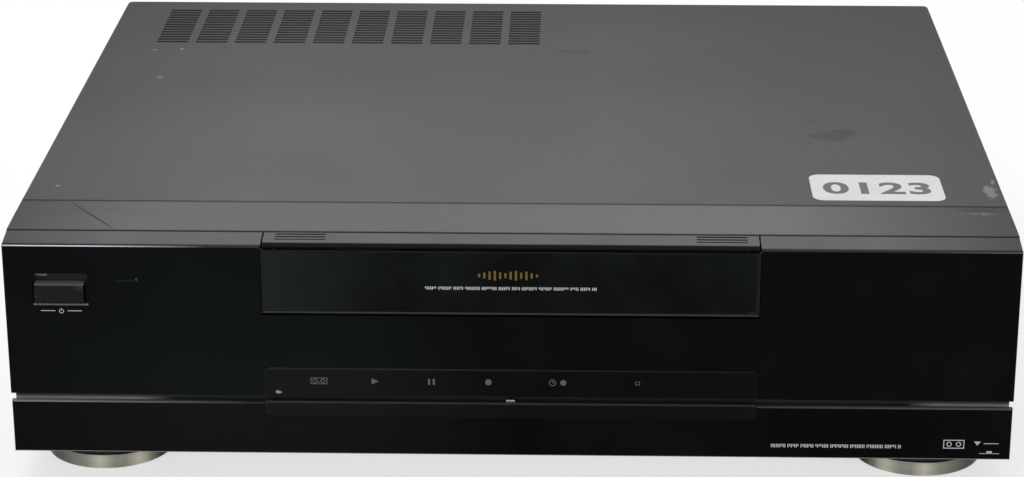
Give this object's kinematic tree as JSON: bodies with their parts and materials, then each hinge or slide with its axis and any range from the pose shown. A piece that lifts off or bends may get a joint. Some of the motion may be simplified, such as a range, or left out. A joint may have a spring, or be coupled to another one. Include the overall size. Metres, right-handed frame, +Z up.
{
  "type": "video cassette recorder",
  "caption": "Full-width table-top video cassette recorder with a front-loading lid, full-width flip-down lower door, slotted top cover and round silver feet.",
  "frame": {"origin": "on the table, under the middle of the box that holds the whole recorder", "axes": "+X to the right seen from the front, +Y from the front to the back, +Z up"},
  "size_m": [0.4328, 0.3736, 0.1129],
  "materials": {
    "cover_paint": "fine matt textured charcoal paint on steel",
    "label_paper": "white paper with black print",
    "zinc_steel": "bright zinc plate, satin",
    "black_moulding": "matt moulded black plastic",
    "gloss_black": "high gloss black acrylic",
    "smoked_lens": "smoked gloss acrylic",
    "lid_black": "gloss black moulding with polished bevels",
    "button_black": "satin black plastic",
    "key_grey": "satin dark grey plastic",
    "silver_trim": "warm mirror plating",
    "foot_silver": "warm silver, spun",
    "rubber": "matt black rubber",
    "black_screw": "black oxide",
    "steel_pin": "ground and polished",
    "lamp_red": "dark red diffuser, unlit",
    "board_green": "glass-fibre board with solder mask",
    "chip_black": "moulded chip packages",
    "capacitor_sleeve": "dark blue sleeve",
    "display_glass": "clear glass tube over a dark grid",
    "drum_aluminium": "diamond-turned aluminium",
    "brass": "turned brass",
    "white_nylon": "natural nylon",
    "head_metal": "polished head face in a screened can",
    "motor_steel": "drawn steel can",
    "core_steel": "varnished laminations and wound copper",
    "sink_aluminium": "extruded, natural",
    "tuner_can": "tinned steel can",
    "socket_black": "moulded black plastic"
  },
  "bodies": {
    "case": {"top_cover": "cover_paint", "cover_label": "label_paper", "bottom_chassis": "zinc_steel", "rear_panel": "cover_paint", "cover_screws": "black_screw", "foot_rings": "foot_silver", "foot_bodies": "black_moulding", "foot_pads": "rubber", "machine_screws": "zinc_steel", "front_plate": "gloss_black", "front_fascia": "black_moulding", "fascia_top_moulding": "black_moulding", "display_lens": "smoked_lens", "front_hinge_pins": "steel_pin", "trim_strip": "silver_trim", "power_lamp": "lamp_red", "front_boards": "board_green", "control_panel": "black_moulding", "display_tube": "display_glass", "deck_plate": "zinc_steel", "deck_posts": "zinc_steel", "deck_brackets": "zinc_steel", "deck_pins": "steel_pin", "lower_drum": "drum_aluminium", "capstan_bearing": "brass", "tape_heads": "head_metal", "loading_motor": "motor_steel", "chassis_boards": "board_green", "board_chips": "chip_black", "capacitors": "capacitor_sleeve", "transformer": "core_steel", "heat_sink": "sink_aluminium", "tuner": "tuner_can", "scart_sockets": "socket_black", "phono_jacks": "socket_black", "mains_inlet": "socket_black"},
    "control_door": {"control_door": "gloss_black", "door_lens": "smoked_lens", "door_catch": "silver_trim"},
    "cassette_door": {"cassette_door": "lid_black"},
    "power_button": {"power_button": "button_black"},
    "tracking_knob": {"tracking_knob": "key_grey"},
    "jog_dial": {"jog_dial": "key_grey"},
    "level_slider": {"level_slider": "key_grey"},
    "key_eject": {"key_eject": "key_grey"},
    "key_rewind": {"key_rewind": "key_grey"},
    "key_play": {"key_play": "key_grey"},
    "key_forward": {"key_forward": "key_grey"},
    "key_stop": {"key_stop": "key_grey"},
    "key_record": {"key_record": "key_grey"},
    "cassette_sledge": {"cassette_sledge": "white_nylon"},
    "cassette_carrier": {"cassette_carrier": "zinc_steel"},
    "reel_table_left": {"reel_table_left": "white_nylon"},
    "reel_table_right": {"reel_table_right": "white_nylon"},
    "head_drum": {"head_drum": "drum_aluminium"},
    "capstan": {"capstan": "steel_pin"},
    "pinch_arm": {"pinch_arm": "zinc_steel"},
    "pinch_roller": {"pinch_roller": "rubber"},
    "tape_guide_left": {"tape_guide_left": "brass"},
    "tape_guide_right": {"tape_guide_right": "brass"}
  },
  "joints": [
    {"name": "control_door_hinge", "type": "hinge", "parent": "case", "child": "control_door", "pos_m": [0, -0.181, 0.018], "axis": [1, 0, 0], "range_deg": [0, 90]},
    {"name": "cassette_door_hinge", "type": "hinge", "parent": "case", "child": "cassette_door", "pos_m": [0, -0.1837, 0.1074], "axis": [1, 0, 0], "range_deg": [0, 88], "stiffness_Nm_per_rad": 0.02, "springref_deg": -20.05},
    {"name": "power_button_press", "type": "slide", "parent": "case", "child": "power_button", "axis": [0, 1, 0], "range_m": [0, 0.0015], "stiffness_N_per_m": 400},
    {"name": "key_eject_press", "type": "slide", "parent": "case", "child": "key_eject", "axis": [0, 1, 0], "range_m": [0, 0.001], "stiffness_N_per_m": 300},
    {"name": "key_rewind_press", "type": "slide", "parent": "case", "child": "key_rewind", "axis": [0, 1, 0], "range_m": [0, 0.001], "stiffness_N_per_m": 300},
    {"name": "key_play_press", "type": "slide", "parent": "case", "child": "key_play", "axis": [0, 1, 0], "range_m": [0, 0.001], "stiffness_N_per_m": 300},
    {"name": "key_forward_press", "type": "slide", "parent": "case", "child": "key_forward", "axis": [0, 1, 0], "range_m": [0, 0.001], "stiffness_N_per_m": 300},
    {"name": "key_stop_press", "type": "slide", "parent": "case", "child": "key_stop", "axis": [0, 1, 0], "range_m": [0, 0.001], "stiffness_N_per_m": 300},
    {"name": "key_record_press", "type": "slide", "parent": "case", "child": "key_record", "axis": [0, 1, 0], "range_m": [0, 0.001], "stiffness_N_per_m": 300},
    {"name": "tracking_knob_turn", "type": "hinge", "parent": "case", "child": "tracking_knob", "pos_m": [0.096, -0.176, 0.028], "axis": [0, 1, 0], "range_deg": [-140, 140]},
    {"name": "jog_dial_turn", "type": "hinge", "parent": "case", "child": "jog_dial", "pos_m": [0.062, -0.176, 0.028], "axis": [0, 1, 0], "continuous": true},
    {"name": "level_slider_move", "type": "slide", "parent": "case", "child": "level_slider", "axis": [1, 0, 0], "range_m": [0, 0.032]},
    {"name": "cassette_in", "type": "slide", "parent": "case", "child": "cassette_sledge", "axis": [0, 1, 0], "range_m": [0, 0.06]},
    {"name": "cassette_down", "type": "slide", "parent": "cassette_sledge", "child": "cassette_carrier", "axis": [0, 0, -1], "range_m": [0, 0.024]},
    {"name": "reel_left_spin", "type": "hinge", "parent": "case", "child": "reel_table_left", "pos_m": [-0.04615, -0.043, 0.05], "axis": [0, 0, 1], "continuous": true},
    {"name": "reel_right_spin", "type": "hinge", "parent": "case", "child": "reel_table_right", "pos_m": [0.04615, -0.043, 0.05], "axis": [0, 0, 1], "continuous": true},
    {"name": "head_drum_spin", "type": "hinge", "parent": "case", "child": "head_drum", "pos_m": [0, 0.062, 0.046], "axis": [0, 0.0872, 0.9962], "continuous": true},
    {"name": "capstan_spin", "type": "hinge", "parent": "case", "child": "capstan", "pos_m": [0.057, 0.019, 0.04], "axis": [0, 0, 1], "continuous": true},
    {"name": "pinch_arm_swing", "type": "hinge", "parent": "case", "child": "pinch_arm", "pos_m": [0.08, 0.036, 0.06], "axis": [0, 0, 1], "range_deg": [0, 24], "stiffness_Nm_per_rad": 0.02, "springref_deg": -17.19},
    {"name": "pinch_roller_spin", "type": "hinge", "parent": "pinch_arm", "child": "pinch_roller", "pos_m": [0.0602, 0.0333, 0.057], "axis": [0, 0, 1], "continuous": true},
    {"name": "guide_left_load", "type": "slide", "parent": "case", "child": "tape_guide_left", "axis": [-0.2052, 0.9787, 0], "range_m": [0, 0.06335]},
    {"name": "guide_right_load", "type": "slide", "parent": "case", "child": "tape_guide_right", "axis": [0.2052, 0.9787, 0], "range_m": [0, 0.06335]}
  ],
  "couplings": [
    {"joint": "guide_right_load", "follows": "guide_left_load", "ratio": 1}
  ]
}
